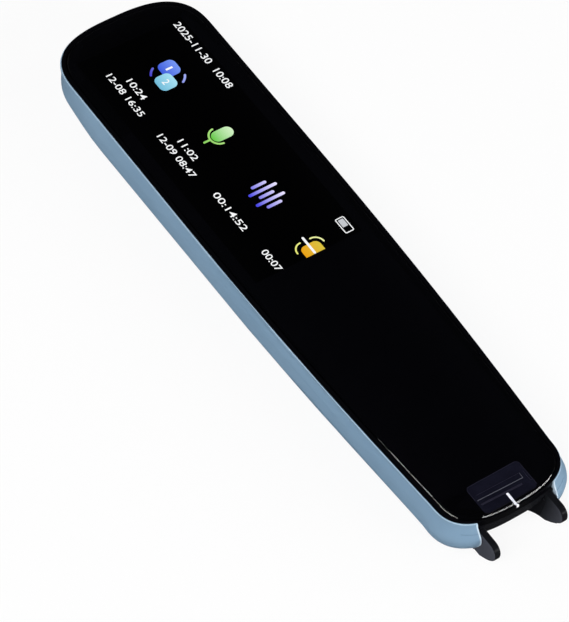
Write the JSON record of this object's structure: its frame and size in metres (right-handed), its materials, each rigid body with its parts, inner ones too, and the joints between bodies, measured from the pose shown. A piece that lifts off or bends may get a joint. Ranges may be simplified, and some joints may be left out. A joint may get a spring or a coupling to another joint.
{
  "type": "handheld translator",
  "caption": "Pen-shaped scanning translator with a touch display, a smoked tip window and a two-legged sprung scan foot.",
  "frame": {"origin": "middle of the flat back face, where the pen lies on a table", "axes": "+X to the pen's right seen from above the display with the tip towards the viewer, +Y from the reading tip to the far end, +Z out of the display"},
  "size_m": [0.0372, 0.1539, 0.01],
  "materials": {
    "shell_blue": "satin moulded plastic, light steel blue",
    "black_plastic": "semi-gloss black moulded plastic",
    "cover_glass": "polished glass, black where printed behind",
    "black_print": "opaque black print behind the glass",
    "clear_plastic": "clear moulded plastic, lightly smoked",
    "foam": "thin grey foam or glue tape",
    "display": "display panel behind the cover glass",
    "backlight": "white light guide and lamps",
    "flex": "amber flexible circuit",
    "board": "green circuit board",
    "chip": "black moulded chip or connector",
    "tinned_steel": "tinned or plated sheet steel",
    "spring_steel": "bright drawn spring wire",
    "battery_foil": "matt foil pouch",
    "ceramic": "white ceramic or nylon"
  },
  "bodies": {
    "body": {"back_shell": "shell_blue", "mid_frame": "black_plastic", "cover_glass": "cover_glass", "mask_film": "black_print", "glass_adhesive": "foam", "display_panel": "display", "display_backlight": "backlight", "display_cushion": "foam", "foot_spring_left": "spring_steel", "foot_spring_right": "spring_steel", "nose_housing": "black_plastic", "scan_window": "clear_plastic", "camera_barrel": "black_plastic", "camera_lens": "clear_plastic", "camera_board": "board", "light_board": "ceramic", "light_led_left": "backlight", "light_led_right": "backlight", "main_board": "board", "board_screw_1": "tinned_steel", "board_screw_2": "tinned_steel", "board_screw_3": "tinned_steel", "board_screw_4": "tinned_steel", "processor_chip": "chip", "memory_chip": "chip", "wireless_module": "tinned_steel", "charger_chip": "chip", "audio_chip": "chip", "antenna": "ceramic", "display_connector": "chip", "camera_connector": "chip", "tail_connector": "chip", "display_flex": "flex", "camera_flex": "flex", "battery_cell": "battery_foil", "battery_pad": "foam", "battery_socket": "ceramic", "battery_lead": "flex", "speaker": "black_plastic", "speaker_gasket": "foam", "tail_board": "board", "usb_shell": "tinned_steel", "usb_tongue": "chip", "microphone": "tinned_steel", "tail_flex": "flex", "power_switch": "tinned_steel", "foot_switch": "tinned_steel"},
    "foot": {"scan_foot": "black_plastic", "foot_switch_plunger": "chip"},
    "button": {"power_button": "black_plastic", "power_switch_plunger": "chip"}
  },
  "joints": [
    {"name": "foot_press", "type": "slide", "parent": "body", "child": "foot", "axis": [0, 1, 0], "range_m": [0, 0.0008], "stiffness_N_per_m": 500, "springref_m": -0.001, "deforming": ["foot_spring_left", "foot_spring_right"]},
    {"name": "button_press", "type": "slide", "parent": "body", "child": "button", "axis": [-1, 0, 0], "range_m": [0, 0.0003], "stiffness_N_per_m": 1500, "springref_m": -0.0003}
  ]
}
